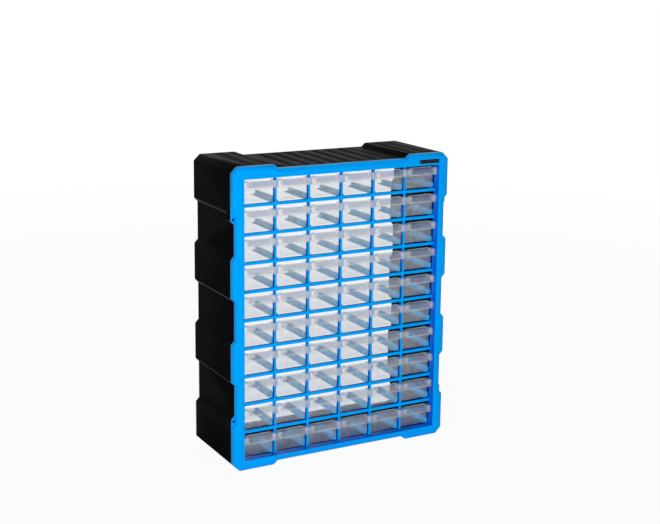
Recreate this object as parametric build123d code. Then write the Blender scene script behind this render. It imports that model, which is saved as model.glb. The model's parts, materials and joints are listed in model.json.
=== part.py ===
from build123d import *
import math
import os

# Parts bin cabinet: a deep housing open at the back, a front frame with a lattice of guide rails behind it, and
# sixty clear drawers in six columns and ten rows. Lengths are in millimetres. X runs to the right, Y runs back
# from the front face, Z runs up. The origin is the middle of the footprint at the height of the feet.

# Overall size
overall_width = 380.0
overall_depth = 150.0
overall_height = 475.0

# Stepped outline, the same for the frame and the housing
corner_chamfer = 10.0
side_recess = 5.8           # how far the side bands step in
side_step = 6.3             # height of the slope between a wide band and a recessed one
end_band_height = 69.0      # height of the wide band at the top, and of the one at the foot
recess_height = 73.2        # from an end band to the nearest middle band, with both slopes
middle_band_height = 58.8   # height of each of the two wide bands between the end ones
foot_width = 69.5           # from the side to the inner end of each foot and of each raised top block
end_recess = 5.9            # how far the top and the underside step in between the blocks
end_step = 6.3              # length of the slope beside each block

# Front frame
frame_depth = 12.0          # visible depth of the frame's side
frame_wall = 2.5
bevel_width = 6.0           # bevel round the outer edge, seen from the front
bevel_depth = 3.0
face_thickness = 2.5
side_margin = 18.0          # from the widest side to the opening
head_margin = 19.0          # from the top to the opening
foot_margin = 15.8          # from the foot to the opening
lug_inset = 3.5             # from the widest side to the screw's axis
lug_drop = 10.5             # from the band's edge to the screw's axis
lug_tip = 2.0               # from the screw's axis to where the lug starts to slope away
lug_front = 9.0             # set back of the lug from the front face

# Drawer lattice and its guide rails
columns = 6
rows = 10
lattice_setback = 11.0      # from the front face to the lattice
lattice_depth = 6.0
upright_width = 3.6
crossbar_height = 4.8
flange_thickness = 3.0
flange_clearance = 0.5      # between the lattice's flange and the walls round it
rail_length = 65.0
rail_ledge_width = 14.0
rail_ledge_thickness = 1.5
rail_fin_width = 3.0
rail_fin_height = 7.5
rail_fin_corner = 4.0       # rounding of the fin's upper rear corner

# Housing
housing_wall = 2.5
rear_rim_width = 8.0
rear_rim_thickness = 2.5
boss_length = 14.0
pilot_run_out = 2.0         # depth of the pilot hole past the screw's point
top_groove_width = 1.6
top_groove_depth = 0.6
top_groove_margin = 4.0     # from each end of the housing to the groove's end
block_groove_insets = (32.0, 38.0, 56.0, 62.0)        # on both raised blocks, from the side
middle_groove_offsets = (12.0, 36.0, 60.0, 84.0)      # between the blocks, from the middle

# Frame screws
screw_head_radius = 2.0
screw_head_height = 1.5
screw_shank_radius = 1.3
screw_length = 11.0
screw_clearance = 0.2
pilot_clearance = 0.1
screw_slot_width = 0.8
screw_slot_depth = 0.7

# Shallow pocket for a badge plate at the upper right of the bezel
badge_width = 36.6
badge_height = 6.6
badge_depth = 0.6
badge_rise = 6.5            # from the opening's upper edge to the middle of the pocket

# Drawers
drawer_side_gap = 1.0       # between a drawer and the upright beside it
drawer_rest_gap = 0.3       # between a drawer and its ledges
bin_setback = 14.5          # from the front face to the bin's front wall
bin_rear_gap = 12.0         # from the bin's rear wall to the back of the housing
drawer_head_gap = 4.5       # between a drawer and the crossbar above it
bin_wall = 1.4
bin_corner = 4.0
divider_rib = 0.8
divider_gap = 1.6
pull_front = 3.0            # set back of the pull from the front face
pull_stop_gap = 0.4         # between the pull's ends and the lattice
pull_height = 12.0
pull_corner = 4.0
pull_wall = 1.4
pull_side_gap = 0.75        # between two neighbouring pulls, each side
pull_arm_width = 7.9
pull_lip_height = 2.8
pull_slope_drop = 1.4       # from the bin's rim to the head of the sloping plate

cut_margin = 1.0            # how far a cutting solid runs past the face that it opens

# Values worked out from those above
front_y = -overall_depth / 2
rear_y = overall_depth / 2
half_width = overall_width / 2
upper_band_foot = overall_height - end_band_height
middle_band_head = upper_band_foot - recess_height
middle_band_foot = middle_band_head - middle_band_height
foot_inner_x = half_width - foot_width
half_opening = half_width - side_margin
opening_head = overall_height - head_margin
column_pitch = 2 * half_opening / columns
row_pitch = (opening_head - foot_margin + crossbar_height) / rows
bin_height = row_pitch - crossbar_height - rail_ledge_thickness - drawer_rest_gap - drawer_head_gap
housing_front_y = front_y + frame_depth
lattice_y = front_y + lattice_setback
lattice_back_y = lattice_y + lattice_depth


def stepped_outline():
    """Corner points of the outer outline in front view, anticlockwise from the foot on the right."""
    recessed_x = half_width - side_recess
    band_edges = [
        (corner_chamfer, half_width),
        (overall_height - upper_band_foot, half_width),
        (overall_height - upper_band_foot + side_step, recessed_x),
        (overall_height - middle_band_head - side_step, recessed_x),
        (overall_height - middle_band_head, half_width),
        (overall_height - middle_band_foot, half_width),
        (overall_height - middle_band_foot + side_step, recessed_x),
        (middle_band_foot - side_step, recessed_x),
        (middle_band_foot, half_width),
        (middle_band_head, half_width),
        (middle_band_head + side_step, recessed_x),
        (upper_band_foot - side_step, recessed_x),
        (upper_band_foot, half_width),
        (overall_height - corner_chamfer, half_width),
    ]
    foot_side = [
        (foot_inner_x - end_step, end_recess),
        (foot_inner_x, 0.0),
        (half_width - corner_chamfer, 0.0),
    ]
    right_side = [(x, z) for z, x in band_edges]
    head_side = [(x, overall_height - z) for x, z in reversed(foot_side)]
    half = foot_side + right_side + head_side
    return half + [(-x, z) for x, z in reversed(half)]


def inset(points, distance):
    """The outline moved inwards by a distance, corner for corner."""
    moved = []
    for index, point in enumerate(points):
        before = Vector(*points[index - 1])
        here = Vector(*point)
        after = Vector(*points[(index + 1) % len(points)])
        run_in = (here - before).normalized()
        run_out = (after - here).normalized()
        normal_in = Vector(-run_in.Y, run_in.X)
        normal_out = Vector(-run_out.Y, run_out.X)
        shift = (normal_in + normal_out) * (distance / (1 + normal_in.dot(normal_out)))
        moved.append((here.X + shift.X, here.Y + shift.Y))
    return moved


def outline_face(points, y):
    """A flat face standing at one depth."""
    return make_face(Polyline(*[(x, y, z) for x, z in points], close=True))


def outline_prism(points, y_front, y_back):
    """A solid with the outline in front view, from one depth to another."""
    return extrude(outline_face(points, y_front), amount=y_back - y_front, dir=(0, 1, 0))


def side_prism(points, x_left, x_right):
    """A solid with a side-view outline of (y, z) points, from one x to another."""
    face = make_face(Polyline(*[(x_left, y, z) for y, z in points], close=True))
    return extrude(face, amount=x_right - x_left, dir=(1, 0, 0))


def block(x_left, x_right, y_front, y_back, z_low, z_high):
    """A plain box between two corners."""
    size = (x_right - x_left, y_back - y_front, z_high - z_low)
    return Pos(x_left, y_front, z_low) * Box(*size, align=(Align.MIN, Align.MIN, Align.MIN))


def rod(x, z, radius, y_front, y_back):
    """A round bar along the depth."""
    middle = Pos(x, (y_front + y_back) / 2, z)
    return middle * Rot(X=90) * Cylinder(radius, y_back - y_front)


def screw_places():
    """Axes of the four frame screws, as (x, z), each in a side recess beside a wide band."""
    heights = (upper_band_foot - lug_drop, overall_height - upper_band_foot + lug_drop)
    return [(side * (half_width - lug_inset), z) for side in (-1, 1) for z in heights]


def lug(x, z, y_front, y_back):
    """A lug that carries the wide band's side on past the screw, then slopes back to the recessed side."""
    side = 1 if x > 0 else -1
    towards_band = 1 if z > overall_height / 2 else -1
    recessed_x = half_width - side_recess
    root_x = recessed_x - frame_wall
    corners = [
        (root_x, lug_drop),
        (half_width, lug_drop),
        (half_width, -lug_tip),
        (recessed_x, -lug_tip - side_step),
        (root_x, -lug_tip - side_step),
    ]
    return outline_prism([(side * across, z + towards_band * along) for across, along in corners], y_front, y_back)


def make_front_frame():
    """Bezel with a bevelled outer edge, a skirt behind it, the opening's inner wall and four screw lugs."""
    outline = stepped_outline()
    bevel_y = front_y + bevel_depth
    bevel = loft([outline_face(outline, bevel_y), outline_face(inset(outline, bevel_width), front_y)], ruled=True)
    solid = bevel + outline_prism(outline, bevel_y, housing_front_y)

    wall_outer_x = half_opening + frame_wall
    hollow = outline_prism(inset(outline, frame_wall), bevel_y + face_thickness, housing_front_y)
    inner_wall = block(
        -wall_outer_x, wall_outer_x, front_y, lattice_y, foot_margin - frame_wall, opening_head + frame_wall
    )
    solid = solid - (hollow - inner_wall)
    for x, z in screw_places():
        solid += lug(x, z, front_y + lug_front, housing_front_y)
    solid -= block(
        -half_opening, half_opening, front_y - cut_margin, housing_front_y + cut_margin, foot_margin, opening_head
    )

    seat_y = front_y + lug_front + screw_head_height + screw_clearance
    for x, z in screw_places():
        solid -= rod(x, z, screw_shank_radius + screw_clearance, front_y, housing_front_y + cut_margin)
        solid -= rod(x, z, screw_head_radius + screw_clearance, front_y, seat_y)
    badge_z = opening_head + badge_rise
    solid -= block(
        half_opening - badge_width, half_opening, front_y, front_y + badge_depth,
        badge_z - badge_height / 2, badge_z + badge_height / 2,
    )
    return solid


def make_rear_housing():
    """Stepped tube round the drawers, open at the back behind an inward rim, with a boss behind each lug."""
    outline = stepped_outline()
    solid = outline_prism(outline, housing_front_y, rear_y)
    solid -= outline_prism(inset(outline, housing_wall), housing_front_y, rear_y - rear_rim_thickness)
    solid -= outline_prism(inset(outline, housing_wall + rear_rim_width), rear_y - rear_rim_thickness, rear_y)
    for x, z in screw_places():
        solid += lug(x, z, housing_front_y, housing_front_y + boss_length)
    pilot_end_y = front_y + lug_front + screw_clearance + screw_length + pilot_run_out
    for x, z in screw_places():
        solid -= rod(x, z, screw_shank_radius + pilot_clearance, housing_front_y, pilot_end_y)
    grooves = [(half_width - from_side, overall_height) for from_side in block_groove_insets]
    grooves += [(x, overall_height - end_recess) for x in middle_groove_offsets]
    for offset, top in grooves:
        for x in (-offset, offset):
            solid -= block(
                x - top_groove_width / 2, x + top_groove_width / 2,
                housing_front_y + top_groove_margin, rear_y - top_groove_margin,
                top - top_groove_depth, top + cut_margin,
            )
    return solid


def make_frame_screws():
    """Four slotted screws, each through its lug into the boss behind."""
    screws = []
    for x, z in screw_places():
        head_y = front_y + lug_front + screw_clearance
        under_head_y = head_y + screw_head_height
        screw = rod(x, z, screw_head_radius, head_y, under_head_y)
        screw += rod(x, z, screw_shank_radius, under_head_y, head_y + screw_length)
        screw -= block(
            x - screw_head_radius, x + screw_head_radius, head_y, head_y + screw_slot_depth,
            z - screw_slot_width / 2, z + screw_slot_width / 2,
        )
        screws.append(screw)
    return Compound(children=[part.solid() for part in screws])


def cell_floor(row):
    """Height of the cell's floor in a row, counted from 0 at the top."""
    return opening_head - (row + 1) * row_pitch + crossbar_height


def column_middle(column):
    """Middle of a column, counted from 0 at the left."""
    return (column - (columns - 1) / 2) * column_pitch


def upright_x(line):
    """Middle of an upright, or of an outer edge of the opening, counted from 0 at the left."""
    return line * column_pitch - half_opening


def make_drawer_grid():
    """Lattice of uprights and crossbars, with a border behind its flange as deep as they are."""
    flange_x = half_width - side_recess - frame_wall - flange_clearance
    flange_foot = end_recess + housing_wall + flange_clearance
    grid = block(
        -flange_x, flange_x, lattice_y, lattice_y + flange_thickness, flange_foot, overall_height - flange_foot
    )
    grid += block(
        -half_opening - upright_width, half_opening + upright_width, lattice_y, lattice_back_y,
        foot_margin - crossbar_height, opening_head + crossbar_height,
    )
    grid -= block(
        -half_opening, half_opening, lattice_y - cut_margin, lattice_back_y + cut_margin, foot_margin, opening_head
    )
    bars = []
    for line in range(1, columns):
        x = upright_x(line)
        bars.append(block(
            x - upright_width / 2, x + upright_width / 2, lattice_y, lattice_back_y, foot_margin, opening_head
        ))
    for row in range(rows - 1):
        bar_top = cell_floor(row)
        bars.append(block(
            -half_opening, half_opening, lattice_y, lattice_back_y, bar_top - crossbar_height, bar_top
        ))
    return grid.fuse(*bars).clean()


def make_guide_rails():
    """T-shaped rails behind the lattice, one at each side of every cell: a ledge with a fin standing on it."""
    rail_end_y = lattice_back_y + rail_length
    ledge = block(
        -rail_ledge_width / 2, rail_ledge_width / 2, lattice_back_y, rail_end_y, 0, rail_ledge_thickness
    )
    fin = block(-rail_fin_width / 2, rail_fin_width / 2, lattice_back_y, rail_end_y, 0, rail_fin_height)
    fin = fillet(fin.edges().filter_by(Axis.X).group_by(Axis.Y)[-1].group_by(Axis.Z)[-1], rail_fin_corner)
    rail = ledge + fin
    places = [Pos(upright_x(line), 0, cell_floor(row)) for row in range(rows) for line in range(columns + 1)]
    return Compound(children=[(place * rail).solid() for place in places])


def make_drawer():
    """One drawer about x = 0, standing on z = 0: an open bin and the hooded pull across its front."""
    half_bin = (column_pitch - upright_width) / 2 - drawer_side_gap
    bin_front_y = front_y + bin_setback
    bin_back_y = rear_y - bin_rear_gap
    bin_solid = block(-half_bin, half_bin, bin_front_y, bin_back_y, 0, bin_height)
    bin_solid = fillet(bin_solid.edges().filter_by(Axis.Y).group_by(Axis.Z)[0], bin_corner)
    inner_half = half_bin - bin_wall
    cavity = block(
        -inner_half, inner_half, bin_front_y + bin_wall, bin_back_y - bin_wall, bin_wall, bin_height + bin_corner
    )
    cavity = fillet(cavity.edges().filter_by(Axis.Y).group_by(Axis.Z)[0], bin_corner - bin_wall)
    bin_solid -= cavity
    middle_y = (bin_front_y + bin_back_y) / 2
    for side in (-1, 1):
        for along in (-1, 1):
            rib_y = middle_y + along * (divider_gap + divider_rib) / 2
            rib_x = side * (inner_half - divider_rib / 2)
            bin_solid += block(
                rib_x - divider_rib / 2, rib_x + divider_rib / 2, rib_y - divider_rib / 2, rib_y + divider_rib / 2,
                bin_corner, bin_height,
            )
    return bin_solid + make_pull(half_bin, bin_front_y)


def make_pull(half_bin, bin_front_y):
    """Hooded pull: a sloping middle plate between two square arms, open underneath for the fingers."""
    pull_y = front_y + pull_front
    stop_y = lattice_y - pull_stop_gap
    half_pull = column_pitch / 2 - pull_side_gap
    pull_foot = bin_height - pull_height
    arm_inner_x = half_pull - pull_arm_width

    hood = block(-half_pull, half_pull, pull_y, stop_y, pull_foot, bin_height)
    hood = fillet(hood.edges().filter_by(Axis.Y).group_by(Axis.Z)[-1], pull_corner)
    hollow = block(
        -half_pull + pull_wall, half_pull - pull_wall, pull_y + pull_wall, stop_y,
        pull_foot - pull_corner, bin_height - pull_wall,
    )
    hollow = fillet(hollow.edges().filter_by(Axis.Y).group_by(Axis.Z)[-1], pull_corner - pull_wall)
    neck = block(-half_bin, half_bin, stop_y, bin_front_y, pull_foot, bin_height)
    neck -= block(
        -half_bin + pull_wall, half_bin - pull_wall, stop_y, bin_front_y, pull_foot, bin_height - pull_wall
    )
    web = block(half_bin - pull_wall, half_pull, stop_y - pull_wall, stop_y, pull_foot, bin_height - pull_corner)
    solid = (hood - hollow) + neck + web + mirror(web, Plane.YZ)

    slope_head = bin_height - pull_slope_drop
    slope_foot = pull_foot + pull_lip_height
    above_slope = [
        (pull_y - cut_margin, bin_height + cut_margin),
        (bin_front_y, bin_height + cut_margin),
        (bin_front_y, slope_head),
        (pull_y, slope_foot),
        (pull_y - cut_margin, slope_foot),
    ]
    solid -= side_prism(above_slope, -arm_inner_x, arm_inner_x)
    slope = math.atan2(slope_head - slope_foot, bin_front_y - pull_y)
    plate_drop = pull_wall / math.cos(slope)
    plate = [
        (bin_front_y, slope_head),
        (pull_y, slope_foot),
        (pull_y, pull_foot),
        (pull_y + pull_wall, pull_foot),
        (pull_y + pull_wall, slope_foot + pull_wall * math.tan(slope) - plate_drop),
        (bin_front_y, slope_head - plate_drop),
    ]
    solid += side_prism(plate, -arm_inner_x, arm_inner_x)
    cheek = [(bin_front_y, bin_height), (pull_y, bin_height)] + plate[2:]
    solid += side_prism(cheek, arm_inner_x, arm_inner_x + pull_wall)
    solid += side_prism(cheek, -arm_inner_x - pull_wall, -arm_inner_x)
    return solid


def drawer_place(row, column):
    """Where a drawer stands at rest, just clear of its ledges."""
    return Pos(column_middle(column), 0, cell_floor(row) + rail_ledge_thickness + drawer_rest_gap)


def write(shape, name):
    """Writes one sub-part's STEP file."""
    export_step(shape, os.path.join("parts", name + ".step"))


def main():
    os.makedirs("parts", exist_ok=True)
    write(make_front_frame(), "front_frame")
    write(make_rear_housing(), "rear_housing")
    write(make_frame_screws(), "frame_screws")
    write(make_drawer_grid(), "drawer_grid")
    write(make_guide_rails(), "guide_rails")

    drawer = make_drawer()
    bottom_row = rows - 1
    for row in range(bottom_row):
        for column in range(columns):
            write(drawer_place(row, column) * drawer, f"drawer_r{row + 1}_c{column + 1}")
    bottom_drawers = [drawer_place(bottom_row, column) * drawer for column in range(columns)]
    write(Compound(children=[placed.solid() for placed in bottom_drawers]), "bottom_row_drawers")


main()
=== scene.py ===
import json
import math

import bmesh
import bpy
from bpy.props import FloatProperty, FloatVectorProperty, PointerProperty
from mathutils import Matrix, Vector


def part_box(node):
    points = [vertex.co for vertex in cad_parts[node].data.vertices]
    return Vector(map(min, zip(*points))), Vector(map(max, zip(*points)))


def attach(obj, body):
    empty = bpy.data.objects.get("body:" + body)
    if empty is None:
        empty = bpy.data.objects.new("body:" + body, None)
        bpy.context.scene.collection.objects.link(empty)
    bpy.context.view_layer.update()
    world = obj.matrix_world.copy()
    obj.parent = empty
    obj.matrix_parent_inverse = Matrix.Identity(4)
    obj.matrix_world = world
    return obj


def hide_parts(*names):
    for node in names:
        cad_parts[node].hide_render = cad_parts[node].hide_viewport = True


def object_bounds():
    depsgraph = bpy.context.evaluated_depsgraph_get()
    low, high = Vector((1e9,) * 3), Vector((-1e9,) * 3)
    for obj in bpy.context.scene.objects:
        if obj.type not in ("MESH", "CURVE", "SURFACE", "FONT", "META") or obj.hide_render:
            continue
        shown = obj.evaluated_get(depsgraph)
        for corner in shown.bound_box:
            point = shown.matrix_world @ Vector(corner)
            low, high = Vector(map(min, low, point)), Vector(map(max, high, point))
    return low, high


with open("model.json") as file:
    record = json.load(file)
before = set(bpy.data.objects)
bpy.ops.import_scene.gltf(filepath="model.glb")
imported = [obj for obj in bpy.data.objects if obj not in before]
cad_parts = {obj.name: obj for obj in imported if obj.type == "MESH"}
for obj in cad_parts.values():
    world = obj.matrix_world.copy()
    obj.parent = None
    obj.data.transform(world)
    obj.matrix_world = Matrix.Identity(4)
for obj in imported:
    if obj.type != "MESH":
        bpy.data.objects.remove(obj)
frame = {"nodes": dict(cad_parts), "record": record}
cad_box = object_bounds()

bl_info = {
    "name": "Parts Bin Cabinet",
    "version": (1, 0, 0),
    "blender": (4, 5, 0),
    "location": "View3D > Sidebar > Cabinet",
    "description": "Dresses a cabinet of clear drawers in a black housing with a blue front frame",
    "category": "Object",
}

CABINET = "cabinet"             # the body that everything but the drawers rides on
WELD = 0.00001                  # loose corners nearer than this are one corner
CLEAR_FACES = 48                # most faces of clear plastic that one line of sight passes
COLUMNS = 6
ROWS = 10
TURNED = 0.5                    # a face looks along an axis when this much of its normal lies along it
# The lattice's painted shade runs between these two depths behind its front
SHADE_START = 0.0004            # how far behind a lattice's front its shade begins
SHADE_END = 0.0024              # and where it is full
PULL_DEPTH = 0.0116             # from the front of the pull back to the bin's front wall
SCREW_EDGE = 0.0002             # rounding of the screws' edges
FLOOR_REACH = 40.0              # from the floor's middle to its edge
FLOOR_NEAR = 0.5                # the floor's shade starts to fade out at this distance from the cabinet
FLOOR_FAR = 3.0                 # and is gone at this one
KEY_PLACE = (-0.75, -1.5, 0.25)
KEY_SIZE = 0.8
SEEN_RAYS = ("Is Camera Ray", "Is Glossy Ray", "Is Transmission Ray")


# ---------------------------------------------------------------------------------------------------------------
# Sizes and colours that a user would change
# ---------------------------------------------------------------------------------------------------------------

def distance(name, description, default):
    """A length in metres, shown with its unit."""
    return FloatProperty(name=name, description=description, default=default, subtype="DISTANCE", unit="LENGTH",
                         precision=5)


def colour(name, description, default):
    """A linear colour."""
    return FloatVectorProperty(name=name, description=description, default=default, subtype="COLOR", size=3,
                               min=0.0, max=1.0)


def share(name, description, default):
    """A number from 0 to 1."""
    return FloatProperty(name=name, description=description, default=default, min=0.0, max=1.0, subtype="FACTOR")


class HousingSettings(bpy.types.PropertyGroup):
    colour: colour("Colour", "Black plastic of the housing", (0.0026, 0.0030, 0.0034))
    roughness: share("Roughness", "How matt the moulded grain is", 0.42)
    ior: FloatProperty(name="IOR", description="How much the matt black surface mirrors", default=1.05, min=1.0)
    # Painted reflection: the down-facing side slopes get a more mirroring copy of the same black plastic, so that they
    # show a light band
    slope_painted_reflection_ior: FloatProperty(name="Slope IOR", description="The same for the side slopes that face down",
                             default=1.5, min=1.0)
    grain: distance("Grain", "Size of one grain of the moulded texture", 0.0009)
    edge: distance("Edge radius", "Rounding of the housing's outer edges", 0.0007)


class FrameSettings(bpy.types.PropertyGroup):
    colour: colour("Colour", "Blue plastic of the frame and lattice", (0.0, 0.370, 1.0))
    # Painted light: the rails' blue is lighter and greener than the frame's, making up for the little light that
    # reaches them behind the drawers
    rail_painted_light_colour: colour("Rail colour", "Blue of the rails, lightened to show through the drawers", (0.0, 0.60, 1.0))
    sheen: colour("Sheen", "Colour of the reflections in the blue plastic", (0.0, 0.42, 1.0))
    ior: FloatProperty(name="IOR", description="How much the blue surface mirrors", default=1.2, min=1.0)
    roughness: share("Roughness", "How matt the blue plastic is", 0.32)
    # Painted shade: the walls inside the opening get a darker blue in place of the shade that falls in the recess
    jamb_painted_shade: colour("Jamb colour", "Shaded blue of the walls inside the opening", (0.0, 0.135, 0.80))
    # Painted shade for the lattice's bars behind their front faces
    shade: colour("Shade colour", "Shaded blue of the lattice behind its front faces", (0.0, 0.035, 0.38))
    side_margin: distance("Side margin", "From the frame's side to the opening", 0.018)
    head_margin: distance("Head margin", "From the frame's top to the opening", 0.019)
    foot_margin: distance("Foot margin", "From the frame's foot to the opening", 0.0158)
    edge: distance("Edge radius", "Rounding of the frame's edges", 0.0008)
    lattice_edge: distance("Lattice edge radius", "Rounding of the lattice's and rails' edges", 0.0004)


class BadgeSettings(bpy.types.PropertyGroup):
    rise: distance("Rise", "From the opening to the middle of the plate", 0.0065)
    width: distance("Width", "Width of the pocket", 0.0366)
    height: distance("Height", "Height of the pocket", 0.0066)
    thickness: distance("Thickness", "Depth of the pocket, which the plate fills", 0.0006)
    gap: distance("Gap", "Room round the plate in its pocket", 0.0001)
    edge: distance("Edge radius", "Rounding of the plate's edges", 0.00012)


class DrawerSettings(bpy.types.PropertyGroup):
    tint: colour("Tint", "Colour of what shows through one face of the clear plastic", (0.988, 0.990, 0.993))
    haze_colour: colour("Haze colour", "Colour of the milky share of the plastic", (0.90, 0.94, 0.98))
    mirror: share("Mirror", "How much one face mirrors, met head on", 0.004)
    slant_mirror: share("Slant mirror", "How much more it mirrors at a glancing angle", 0.03)
    pull_mirror: share("Pull mirror", "How much one face of the pull mirrors, met head on", 0.05)
    # Painted highlight: the rounded edges mirror more and carry a milky share, standing in for the bright lines that
    # light gathered in the clear plastic gives its edges
    edge_highlight_mirror: share("Edge mirror", "How much a rounded edge mirrors, met head on", 0.10)
    bin_haze: share("Bin haze", "Milky share of the bin's walls", 0.004)
    pull_haze: share("Pull haze", "Milky share of the pull", 0.40)
    edge_highlight_haze: share("Edge haze", "Milky share of the rounded edges, where light gathers", 0.75)
    gloss: share("Gloss roughness", "How blurred the reflections are", 0.08)
    edge: distance("Edge radius", "Rounding of the drawer's edges", 0.0005)
    nub_radius: distance("Nub radius", "Radius of the two small nubs on the bin's floor", 0.0013)
    nub_height: distance("Nub height", "How far they stand up", 0.0006)
    nub_apart: distance("Nub distance", "From one nub to the other", 0.010)
    nub_setback: distance("Nub setback", "From the front of the pull back to the nubs", 0.018)
    floor_thickness: distance("Floor thickness", "Thickness of the bin's floor", 0.0014)


class StageSettings(bpy.types.PropertyGroup):
    camera_place: FloatVectorProperty(
        name="Camera place", description="Where the camera stands", default=(-0.9700, -1.7920, 0.7824),
        subtype="TRANSLATION", unit="LENGTH", size=3)
    camera_turn: FloatVectorProperty(
        name="Camera turn", description="How the camera is turned", subtype="EULER", unit="ROTATION", size=3,
        default=(math.radians(78.915), math.radians(-0.618), math.radians(-28.652)))
    lens: FloatProperty(name="Lens", description="Focal length in millimetres", default=70.73)
    rise: FloatProperty(name="Rise", description="Height of the lens axis over the picture's middle, as a share of "
                                                 "its width", default=0.0788)
    floor: colour("Floor", "Pale floor under the cabinet", (0.92, 0.92, 0.92))
    backdrop: share("Backdrop", "How far the floor near the cabinet is lifted to white where it is seen", 0.94)
    ambient: FloatProperty(name="Ambient", description="Strength of the surrounding light, level with the cabinet",
                           default=0.85)
    overhead: share("Overhead", "How much weaker that light is from straight above", 0.90)
    key: FloatProperty(name="Key light", description="Power of the large lamp before the left of the front",
                       default=17.0, unit="POWER")


SETTINGS = {
    "cabinet_housing": HousingSettings,
    "cabinet_frame": FrameSettings,
    "cabinet_badge": BadgeSettings,
    "cabinet_drawers": DrawerSettings,
    "cabinet_stage": StageSettings,
}


# ---------------------------------------------------------------------------------------------------------------
# Shader maths
# ---------------------------------------------------------------------------------------------------------------

class Term:
    """A number inside a material: arithmetic on it adds Math nodes."""

    def __init__(self, graph, socket):
        self.graph = graph
        self.socket = socket

    def maths(self, operation, *values):
        return self.graph.node("ShaderNodeMath", {"operation": operation}, dict(enumerate(values)))

    def __add__(self, other):
        return self.maths("ADD", self, other)

    def __mul__(self, other):
        return self.maths("MULTIPLY", self, other)

    def __rsub__(self, other):
        return self.maths("SUBTRACT", other, self)

    __radd__ = __add__
    __rmul__ = __mul__

    def above(self, low, high):
        """0 under low, 1 over high, and smooth in between."""
        return self.graph.node(
            "ShaderNodeMapRange", {"interpolation_type": "SMOOTHSTEP"},
            {"Value": self, "From Min": low, "From Max": high})


class Graph:
    """A node tree. node() makes one node from its type, its settings and its sockets' values or links."""

    def __init__(self, tree):
        self.tree = tree
        tree.nodes.clear()

    def node(self, kind, settings=None, sockets=None, output=0):
        made = self.tree.nodes.new(kind)
        for name, value in (settings or {}).items():
            setattr(made, name, value)
        for name, value in (sockets or {}).items():
            if isinstance(value, Term):
                self.tree.links.new(value.socket, made.inputs[name])
            else:
                made.inputs[name].default_value = value
        return Term(self, made.outputs[output]) if made.outputs else None

    def given(self, name):
        """One of a geometry tree's named inputs."""
        return self.node("NodeGroupInput", output=name)

    def seen(self):
        """1 where the camera looks, by itself or by reflection or through something clear, and 0 for plain light."""
        path = [self.node("ShaderNodeLightPath", output=ray) for ray in SEEN_RAYS]
        return path[0].maths("MAXIMUM", path[0], path[1]).maths("MAXIMUM", path[0], path[2])


class Finish(Graph):
    """A new material's nodes, on Object coordinates."""

    def __init__(self, name):
        self.material = bpy.data.materials.new(name)
        self.material.use_nodes = True
        super().__init__(self.material.node_tree)
        self.place = self.node("ShaderNodeTexCoord", output="Object")

    def noise(self, size, detail=2.0, roughness=0.5, stretch=(1, 1, 1)):
        """Soft cloudy variation with patches of about this size in metres."""
        place = self.node("ShaderNodeMapping", {}, {"Vector": self.place, "Scale": stretch})
        return self.node("ShaderNodeTexNoise", {"noise_dimensions": "3D"},
                         {"Vector": place, "Scale": 1 / size, "Detail": detail, "Roughness": roughness})

    def mix(self, factor, first, second):
        """A colour between two others."""
        return self.node("ShaderNodeMix", {"data_type": "RGBA"}, {0: factor, 6: first, 7: second}, output=2)

    def bump(self, height, depth):
        """A bumped normal: height runs from 0 to 1 over this depth in metres."""
        return self.node("ShaderNodeBump", {}, {"Strength": 1.0, "Distance": depth, "Height": height})

    def plastic(self, **sockets):
        """Ends the material in one Principled shader."""
        named = {name.replace("_", " ").title().replace("Ior", "IOR"): value for name, value in sockets.items()}
        return self.end(self.node("ShaderNodeBsdfPrincipled", {}, named))

    def end(self, shader):
        """Joins the last shader to the material's surface."""
        self.node("ShaderNodeOutputMaterial", {}, {"Surface": shader})
        return self.material


def rgba(rgb, scale=1.0):
    """A colour with an alpha of 1, made lighter or darker."""
    return (*(min(1.0, c * scale) for c in rgb), 1.0)


def black_plastic(settings, name, ior):
    """Satin black moulding with a fine grain, a little uneven in sheen."""
    g = Finish(name)
    broad = g.noise(0.09, 3.0)
    grain = g.noise(settings.grain, 2.0, 0.6)
    tone = g.mix(broad, rgba(settings.colour, 0.75), rgba(settings.colour, 1.35))
    return g.plastic(
        base_color=tone,
        roughness=settings.roughness - 0.06 + 0.12 * broad,
        ior=ior,
        normal=g.bump(grain, 0.00006))


def blue_plastic(settings, name, blue, shaded_from=None):
    """Semi-gloss blue moulding, with painted shade behind a given depth, where less light comes."""
    g = Finish(name)
    broad = g.noise(0.07, 2.0)
    grain = g.noise(0.0014, 2.0, 0.5)
    tone = g.mix(broad, rgba(blue, 0.94), rgba(blue, 1.04))
    # Painted shade: behind the given depth the colour runs to the shade colour, standing in for the shade in the
    # recess
    if shaded_from is not None:
        depth = g.node("ShaderNodeSeparateXYZ", {}, {0: g.place}, output="Y")
        behind = depth.above(shaded_from + SHADE_START, shaded_from + SHADE_END)
        tone = g.mix(behind, tone, rgba(settings.shade))
    return g.plastic(
        base_color=tone,
        roughness=settings.roughness - 0.05 + 0.1 * broad,
        ior=settings.ior,
        specular_tint=rgba(settings.sheen),
        normal=g.bump(grain, 0.00002))


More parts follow.
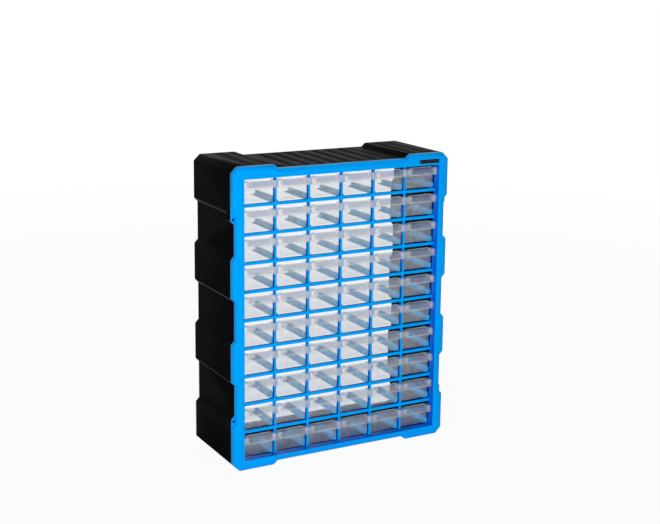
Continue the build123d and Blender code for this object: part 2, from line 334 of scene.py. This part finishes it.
def clear_plastic(settings, name, mirror, haze):
    """Clear polystyrene walls: what is behind shows straight through, under a reflection and a milky share.

    Only the side that light enters by reflects, so that none is caught between the two faces of a wall.
    """
    g = Finish(name)
    flow = g.noise(0.011, 2.0, 0.5, (1, 0.35, 1))
    bumped = g.bump(flow, 0.00005)
    slant = g.node("ShaderNodeLayerWeight", {}, {"Blend": 0.5, "Normal": bumped}, output=1)
    outside = 1 - g.node("ShaderNodeNewGeometry", output="Backfacing")
    reflected = outside * (mirror + settings.slant_mirror * slant.maths("POWER", slant, 5.0))
    through = g.node("ShaderNodeBsdfTransparent", {}, {"Color": rgba(settings.tint)})
    gloss = g.node("ShaderNodeBsdfAnisotropic", {}, {"Roughness": settings.gloss, "Normal": bumped})
    glass = g.node("ShaderNodeMixShader", {}, {0: reflected, 1: through, 2: gloss})
    milk = g.node("ShaderNodeBsdfAnisotropic", {}, {
        "Color": g.mix(flow, rgba(settings.haze_colour, 0.96), rgba(settings.haze_colour, 1.04)),
        "Roughness": 0.5 + 0.2 * flow})
    return g.end(g.node("ShaderNodeMixShader", {}, {0: outside * (haze * 0.7 + haze * 0.6 * flow), 1: glass, 2: milk}))


def screw_steel():
    """Blackened steel."""
    g = Finish("black_screw")
    patches = g.noise(0.0012, 2.0)
    tone = g.mix(patches, (0.008, 0.008, 0.008, 1), (0.02, 0.02, 0.02, 1))
    return g.plastic(base_color=tone, metallic=0.6, roughness=0.3 + 0.15 * patches)


def badge_plastic():
    """Gloss black, bare."""
    g = Finish("badge_black")
    smear = g.noise(0.01, 2.0)
    tone = g.mix(smear, (0.004, 0.004, 0.005, 1), (0.008, 0.008, 0.009, 1))
    return g.plastic(base_color=tone, roughness=0.12 + 0.08 * smear, coat_weight=0.3)


# ---------------------------------------------------------------------------------------------------------------
# Mesh helpers
# ---------------------------------------------------------------------------------------------------------------

def merged_mesh(node, flat=math.radians(1.0)):
    """A copy of a node's mesh with its loose triangles joined into faces of three and four sides."""
    work = bmesh.new()
    work.from_mesh(frame["nodes"][node].data)
    bmesh.ops.remove_doubles(work, verts=work.verts, dist=WELD)
    bmesh.ops.join_triangles(
        work, faces=work.faces, angle_face_threshold=flat, angle_shape_threshold=math.radians(60))
    for face in work.faces:
        face.smooth = True
    mesh = bpy.data.meshes.new(node)
    work.to_mesh(mesh)
    work.free()
    mesh.materials.clear()
    return mesh


def box_mesh(name, low, high):
    """A plain block between two corners, to be finished with a bevel."""
    work = bmesh.new()
    bmesh.ops.create_cube(work, size=1.0)
    for vert in work.verts:
        vert.co = Vector(low[i] if vert.co[i] < 0 else high[i] for i in range(3))
    for face in work.faces:
        face.smooth = True
    mesh = bpy.data.meshes.new(name)
    work.to_mesh(mesh)
    work.free()
    return mesh


def piece(name, mesh, *materials):
    """A new object in the scene with its materials."""
    made = bpy.data.objects.new(name, mesh)
    bpy.context.scene.collection.objects.link(made)
    for material in materials:
        mesh.materials.append(material)
    return made


def round_edges(made, radius, segments=2, angle=math.radians(15), material=-1):
    """Rounds an object's edges with a live bevel, in a material of its own if one is given."""
    bevel = made.modifiers.new("rounded_edges", "BEVEL")
    bevel.width = radius
    bevel.segments = segments
    bevel.limit_method = "ANGLE"
    bevel.angle_limit = angle
    bevel.harden_normals = True
    bevel.material = material
    bevel.miter_outer = "MITER_ARC"


def repeat_tree():
    """Geometry nodes that repeat an object in columns and rows, as one mesh in one material."""
    tree = bpy.data.node_groups.new("repeat_in_rows", "GeometryNodeTree")
    for name, kind in (("Geometry", "Geometry"), ("Piece", "Object"), ("Columns", "Int"), ("Rows", "Int"),
                       ("Column Pitch", "Float"), ("Row Pitch", "Float"), ("Place", "Vector"),
                       ("Material", "Material")):
        tree.interface.new_socket(name, in_out="INPUT", socket_type=f"NodeSocket{kind}")
    tree.interface.new_socket("Geometry", in_out="OUTPUT", socket_type="NodeSocketGeometry")
    g = Graph(tree)
    index, columns = g.node("GeometryNodeInputIndex"), g.given("Columns")
    across = index.maths("MODULO", index, columns)
    up = index.maths("FLOOR", index.maths("DIVIDE", index + 0.5, columns))
    offset = g.node("ShaderNodeCombineXYZ", {}, {
        "X": across * g.given("Column Pitch"), "Z": up * g.given("Row Pitch")})
    spot = g.node("ShaderNodeVectorMath", {"operation": "ADD"}, {0: offset, 1: g.given("Place")})
    points = g.node("GeometryNodePoints", {}, {"Count": columns * g.given("Rows"), "Position": spot})
    part = g.node("GeometryNodeObjectInfo", {}, {"Object": g.given("Piece")}, output="Geometry")
    copies = g.node("GeometryNodeInstanceOnPoints", {}, {"Points": points, "Instance": part})
    joined = g.node("GeometryNodeRealizeInstances", {}, {"Geometry": copies})
    dressed = g.node("GeometryNodeSetMaterial", {}, {"Geometry": joined, "Material": g.given("Material")})
    g.node("NodeGroupOutput", {}, {"Geometry": dressed})
    return tree


def repeated(name, part, inputs):
    """A new object: a part repeated by the geometry nodes, as a plain mesh."""
    tree = bpy.data.node_groups.get("repeat_in_rows") or repeat_tree()
    made = piece(name, bpy.data.meshes.new(name))
    repeat = made.modifiers.new("repeat", "NODES")
    repeat.node_group = tree
    values = {"Piece": part, **inputs}
    for socket in tree.interface.items_tree:
        if socket.in_out == "INPUT" and socket.name in values:
            repeat[socket.identifier] = values[socket.name]
    depsgraph = bpy.context.evaluated_depsgraph_get()
    mesh = bpy.data.meshes.new_from_object(made.evaluated_get(depsgraph), depsgraph=depsgraph)
    made.modifiers.remove(repeat)
    made.data = mesh
    if not mesh.polygons:
        raise RuntimeError(f"{name}: the repeated part came out empty")
    return made


def repeated_node(node, columns, rows, radius, material):
    """A node of identical solids in columns and rows: the one at the low corner, rounded and repeated."""
    mesh = merged_mesh(node)
    low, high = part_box(node)
    work = bmesh.new()
    work.from_mesh(mesh)
    kept = {min(work.verts, key=lambda vert: (vert.co - low).length)}
    front = set(kept)
    while front:
        front = {edge.other_vert(vert) for vert in front for edge in vert.link_edges} - kept
        kept |= front
    bmesh.ops.delete(work, geom=[vert for vert in work.verts if vert not in kept], context="VERTS")
    wide, tall = (max(vert.co[axis] for vert in work.verts) - low[axis] for axis in (0, 2))
    work.to_mesh(mesh)
    work.free()
    part = piece(f"one_of_{node}", mesh)
    round_edges(part, radius)
    made = repeated(f"{node}_all", part, {
        "Columns": columns, "Rows": rows, "Column Pitch": (high.x - low.x - wide) / (columns - 1),
        "Row Pitch": (high.z - low.z - tall) / (rows - 1), "Place": (0.0, 0.0, 0.0), "Material": material})
    bpy.data.objects.remove(part)
    return made


def drawer_bodies():
    """Every body but the cabinet, with its nodes."""
    bodies = frame["record"]["behaviour"]["bodies"]
    return {body: nodes for body, nodes in bodies.items() if body != CABINET}


def dress(made, body, slot, *nodes):
    """The piece rides on a body and stands for some nodes. The slot is not used."""
    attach(made, body)
    if nodes:
        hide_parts(*nodes)


# ---------------------------------------------------------------------------------------------------------------
# Operators
# ---------------------------------------------------------------------------------------------------------------

class CABINET_OT_stage(bpy.types.Operator):
    """Makes the floor, the surrounding light, the lamps and the camera"""
    bl_idname = "cabinet.stage"
    bl_label = "Make the stage"

    def execute(self, context):
        settings = context.scene.cabinet_stage
        self.floor(settings)
        self.world(context, settings)
        self.lamp("key_lamp", settings.key, KEY_PLACE, KEY_SIZE)
        self.camera(context, settings)
        context.scene.view_settings.view_transform = "Standard"
        context.scene.cycles.transparent_max_bounces = CLEAR_FACES
        return {"FINISHED"}

    def floor(self, settings):
        work = bmesh.new()
        bmesh.ops.create_grid(work, x_segments=1, y_segments=1, size=FLOOR_REACH)
        mesh = bpy.data.meshes.new("floor")
        work.to_mesh(mesh)
        work.free()
        g = Finish("floor_white")
        speck = g.noise(0.4, 2.0)
        tone = g.mix(speck, rgba(settings.floor, 0.99), rgba(settings.floor, 1.01))
        away = g.node("ShaderNodeVectorMath", {"operation": "LENGTH"}, {0: g.place}, output=1)
        far = away.above(FLOOR_NEAR, FLOOR_FAR)
        lit = g.node("ShaderNodeBsdfDiffuse", {}, {"Color": tone})
        white = g.node("ShaderNodeEmission", {}, {"Color": (1, 1, 1, 1), "Strength": 1.0})
        lifted = g.seen() * (settings.backdrop + (1 - settings.backdrop) * far)
        piece("floor", mesh, g.end(g.node("ShaderNodeMixShader", {}, {0: lifted, 1: lit, 2: white})))

    def world(self, context, settings):
        world = bpy.data.worlds.new("studio")
        world.use_nodes = True
        g = Graph(world.node_tree)
        way = g.node("ShaderNodeTexCoord", output="Generated")
        up = g.node("ShaderNodeSeparateXYZ", {}, {0: way}, output="Z").above(0.0, 1.0)
        dimmed = settings.ambient * (1 - settings.overhead * up)
        lit = g.node("ShaderNodeBackground", {}, {"Color": (1, 1, 1, 1), "Strength": dimmed})
        white = g.node("ShaderNodeBackground", {}, {"Color": (1, 1, 1, 1), "Strength": 1.0})
        either = g.node("ShaderNodeMixShader", {}, {0: g.seen(), 1: lit, 2: white})
        g.node("ShaderNodeOutputWorld", {}, {"Surface": either})
        context.scene.world = world

    def lamp(self, name, power, place, size):
        data = bpy.data.lights.new(name, "AREA")
        data.energy = power
        data.shape = "SQUARE"
        data.size = size
        lamp = bpy.data.objects.new(name, data)
        lamp.location = place
        lamp.visible_camera = False
        middle = (cad_box[0] + cad_box[1]) / 2
        lamp.rotation_euler = (middle - Vector(place)).to_track_quat("-Z", "Y").to_euler()
        bpy.context.scene.collection.objects.link(lamp)

    def camera(self, context, settings):
        data = bpy.data.cameras.new("camera")
        data.lens = settings.lens
        data.sensor_width = 36.0
        data.shift_y = -settings.rise
        camera = bpy.data.objects.new("camera", data)
        camera.location = settings.camera_place
        camera.rotation_euler = settings.camera_turn
        context.scene.collection.objects.link(camera)
        context.scene.camera = camera


class CABINET_OT_housing(bpy.types.Operator):
    """Makes the black housing"""
    bl_idname = "cabinet.housing"
    bl_label = "Make the housing"

    def execute(self, context):
        settings = context.scene.cabinet_housing
        shell = piece(
            "housing_shell", merged_mesh("rear_housing"),
            black_plastic(settings, "black_moulding", settings.ior),
            black_plastic(settings, "black_slope_painted_reflection", settings.slope_painted_reflection_ior))
        # The down-facing side slopes take the second copy, which mirrors more: a painted reflection
        for face in shell.data.polygons:
            if face.normal.z < -TURNED and abs(face.normal.x) > TURNED:
                face.material_index = 1
        round_edges(shell, settings.edge)
        dress(shell, CABINET, "black_housing", "rear_housing")
        return {"FINISHED"}


class CABINET_OT_front_frame(bpy.types.Operator):
    """Makes the blue front frame"""
    bl_idname = "cabinet.front_frame"
    bl_label = "Make the front frame"

    def execute(self, context):
        settings = context.scene.cabinet_frame
        bezel = piece(
            "frame_bezel", merged_mesh("front_frame"),
            blue_plastic(settings, "blue_moulding", settings.colour),
            blue_plastic(settings, "blue_jamb", settings.jamb_painted_shade))
        low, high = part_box("front_frame")
        side = high.x - settings.side_margin + WELD
        foot, head = low.z + settings.foot_margin - WELD, high.z - settings.head_margin + WELD
        # Faces inside the opening that don't face the front take the jamb's painted shade
        for face in bezel.data.polygons:
            if face.normal.y > -TURNED and abs(face.center.x) <= side and foot <= face.center.z <= head:
                face.material_index = 1
        round_edges(bezel, settings.edge)
        dress(bezel, CABINET, "blue_frame", "front_frame")
        return {"FINISHED"}


class CABINET_OT_lattice(bpy.types.Operator):
    """Makes the blue lattice"""
    bl_idname = "cabinet.lattice"
    bl_label = "Make the lattice"

    def execute(self, context):
        settings = context.scene.cabinet_frame
        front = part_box("drawer_grid")[0].y
        # The lattice's material darkens behind its front faces: painted shade
        bars = piece("lattice_bars", merged_mesh("drawer_grid"),
                     blue_plastic(settings, "blue_lattice_painted_shade", settings.colour, front))
        round_edges(bars, settings.lattice_edge)
        dress(bars, CABINET, "blue_frame", "drawer_grid")
        return {"FINISHED"}


class CABINET_OT_rails(bpy.types.Operator):
    """Makes the guide rails, one at each side of every drawer"""
    bl_idname = "cabinet.rails"
    bl_label = "Make the rails"

    def execute(self, context):
        settings = context.scene.cabinet_frame
        # The rails' material carries the painted light of their lightened blue
        material = blue_plastic(settings, "blue_rail_painted_light", settings.rail_painted_light_colour)
        rails = repeated_node("guide_rails", COLUMNS + 1, ROWS, settings.lattice_edge, material)
        dress(rails, CABINET, "blue_frame", "guide_rails")
        return {"FINISHED"}


class CABINET_OT_badge(bpy.types.Operator):
    """Makes the bare black plate in the bezel's upper right"""
    bl_idname = "cabinet.badge"
    bl_label = "Make the badge plate"

    def execute(self, context):
        settings = context.scene.cabinet_badge
        margins = context.scene.cabinet_frame
        low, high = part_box("front_frame")
        opening_side = high.x - margins.side_margin
        opening_head = high.z - margins.head_margin
        middle = Vector((opening_side - settings.width / 2, low.y + settings.thickness / 2,
                         opening_head + settings.rise))
        half = Vector((settings.width / 2 - settings.gap, settings.thickness / 2,
                       settings.height / 2 - settings.gap))
        plate = piece("badge_plate", box_mesh("badge_plate", middle - half, middle + half), badge_plastic())
        round_edges(plate, settings.edge)
        dress(plate, CABINET, "black_housing")
        return {"FINISHED"}


class CABINET_OT_screws(bpy.types.Operator):
    """Makes the four black screws of the frame"""
    bl_idname = "cabinet.screws"
    bl_label = "Make the screws"

    def execute(self, context):
        screws = repeated_node("frame_screws", 2, 2, SCREW_EDGE, screw_steel())
        dress(screws, CABINET, "screw_black", "frame_screws")
        return {"FINISHED"}


class CABINET_OT_drawers(bpy.types.Operator):
    """Makes the clear drawers"""
    bl_idname = "cabinet.drawers"
    bl_label = "Make the drawers"

    def execute(self, context):
        settings = context.scene.cabinet_drawers
        materials = (
            clear_plastic(settings, "clear_bin", settings.mirror, settings.bin_haze),
            clear_plastic(settings, "clear_pull", settings.pull_mirror, settings.pull_haze),
            clear_plastic(settings, "clear_edge_painted_highlight", settings.edge_highlight_mirror, settings.edge_highlight_haze),
        )
        for body, nodes in drawer_bodies().items():
            made = piece(f"clear_{body}", merged_mesh(nodes[0]), *materials)
            self.mark_pull(made, nodes[0])
            # The bevel's faces take the edge material, a painted highlight along every rounded edge
            round_edges(made, settings.edge, angle=math.radians(30), material=2)
            dress(made, body, "clear_drawer", *nodes)
        return {"FINISHED"}

    def mark_pull(self, made, node):
        """Gives the faces in front of the bin the pull's plastic."""
        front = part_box(node)[0].y
        for face in made.data.polygons:
            if face.center.y < front + PULL_DEPTH:
                face.material_index = 1


class CABINET_OT_nubs(bpy.types.Operator):
    """Makes the two small nubs on the floor of every drawer"""
    bl_idname = "cabinet.nubs"
    bl_label = "Make the nubs"

    def execute(self, context):
        settings = context.scene.cabinet_drawers
        # The nubs take the same shares as the edges' painted highlight
        material = clear_plastic(settings, "clear_nub", settings.edge_highlight_mirror, settings.edge_highlight_haze)
        pair = piece("nub_pair", self.pair_mesh(settings))
        bodies = {body: nodes[0] for body, nodes in drawer_bodies().items()}
        width = min(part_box(node)[1].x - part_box(node)[0].x for node in bodies.values())
        for body, node in bodies.items():
            low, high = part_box(node)
            spare = high.x - low.x - width
            count = COLUMNS if spare > width else 1
            place = (low.x + width / 2, low.y + settings.nub_setback, low.z + settings.floor_thickness)
            nubs = repeated(f"nubs_{body}", pair, {
                "Columns": count, "Rows": 1, "Column Pitch": spare / max(1, count - 1), "Row Pitch": 0.0,
                "Place": place, "Material": material})
            dress(nubs, body, "clear_drawer")
        bpy.data.objects.remove(pair)
        return {"FINISHED"}

    def pair_mesh(self, settings):
        work = bmesh.new()
        for side in (-1, 1):
            dome = bmesh.ops.create_uvsphere(work, u_segments=10, v_segments=6, radius=settings.nub_radius)["verts"]
            bmesh.ops.scale(work, verts=dome, vec=(1, 1, settings.nub_height / settings.nub_radius))
            bmesh.ops.translate(work, verts=dome, vec=(side * settings.nub_apart / 2, 0, 0))
        for face in work.faces:
            face.smooth = True
        mesh = bpy.data.meshes.new("nub_pair")
        work.to_mesh(mesh)
        work.free()
        return mesh


OPERATORS = (
    CABINET_OT_stage,
    CABINET_OT_housing,
    CABINET_OT_front_frame,
    CABINET_OT_badge,
    CABINET_OT_lattice,
    CABINET_OT_rails,
    CABINET_OT_screws,
    CABINET_OT_drawers,
    CABINET_OT_nubs,
)


class CABINET_PT_panel(bpy.types.Panel):
    """Settings and steps of the cabinet"""
    bl_idname = "CABINET_PT_panel"
    bl_label = "Parts Bin Cabinet"
    bl_space_type = "VIEW_3D"
    bl_region_type = "UI"
    bl_category = "Cabinet"

    def draw(self, context):
        for name, group in SETTINGS.items():
            box = self.layout.box()
            for field in group.__annotations__:
                box.prop(getattr(context.scene, name), field)
        for operator in OPERATORS:
            self.layout.operator(operator.bl_idname)


def register():
    for group in (*SETTINGS.values(), *OPERATORS, CABINET_PT_panel):
        bpy.utils.register_class(group)
    for name, group in SETTINGS.items():
        setattr(bpy.types.Scene, name, PointerProperty(type=group))


def unregister():
    for name in SETTINGS:
        delattr(bpy.types.Scene, name)
    for group in reversed((*SETTINGS.values(), *OPERATORS, CABINET_PT_panel)):
        bpy.utils.unregister_class(group)


def main():
    register()
    for operator in OPERATORS:
        area, name = operator.bl_idname.split(".")
        getattr(getattr(bpy.ops, area), name)()


if __name__ == "__main__":
    main()
